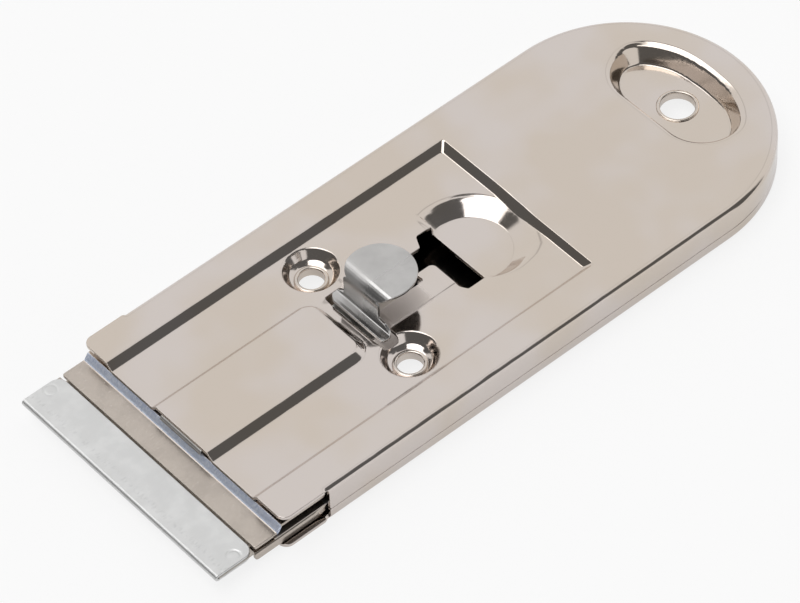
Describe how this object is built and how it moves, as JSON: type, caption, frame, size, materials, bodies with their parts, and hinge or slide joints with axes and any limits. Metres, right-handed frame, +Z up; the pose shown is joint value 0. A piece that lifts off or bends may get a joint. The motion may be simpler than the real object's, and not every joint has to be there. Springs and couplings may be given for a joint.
{
  "type": "retractable razor scraper",
  "caption": "Pocket scraper with two pressed metal shells, a rounded hanging end, a sliding blade carrier worked by a thumb tab, and a folded-back single-edge blade.",
  "frame": {"origin": "on the underside, midway between the blade's back and the rounded end, on the long axis", "axes": "+X toward the rounded hanging end, +Y toward the tool's left side seen from above with the blade ahead, +Z up out of the thumb side"},
  "size_m": [0.1048, 0.0394, 0.0101],
  "materials": {
    "nickel_shell": "bright nickel plate on pressed steel",
    "nickel_eyelet": "bright nickel plate",
    "carrier_steel": "plated sheet, rubbed along the joggle",
    "leaf_steel": "plain spring steel",
    "tab_steel": "satin spring steel",
    "blade_steel": "hardened strip with a ground edge",
    "spine_aluminium": "matt rolled aluminium"
  },
  "bodies": {
    "shells": {"top_shell": "nickel_shell", "bottom_shell": "nickel_shell", "left_eyelet": "nickel_eyelet", "right_eyelet": "nickel_eyelet", "hang_eyelet": "nickel_eyelet"},
    "carrier": {"carrier_tray": "carrier_steel", "carrier_clamp": "carrier_steel", "carrier_rivets": "carrier_steel"},
    "tab": {"leaf_strip": "leaf_steel", "thumb_tab": "tab_steel"},
    "blade": {"blade_steel": "blade_steel", "blade_spine": "spine_aluminium"}
  },
  "joints": [
    {"name": "carrier_slide", "type": "slide", "parent": "shells", "child": "carrier", "axis": [1, 0, 0], "range_m": [0, 0.0145]},
    {"name": "tab_press", "type": "hinge", "parent": "carrier", "child": "tab", "pos_m": [-0.04165, 0, 0.00476], "axis": [0, 1, 0], "range_deg": [0, 1.4], "stiffness_Nm_per_rad": 0.6},
    {"name": "blade_draw", "type": "slide", "parent": "carrier", "child": "blade", "axis": [-1, 0, 0], "range_m": [0, 0.013]}
  ]
}
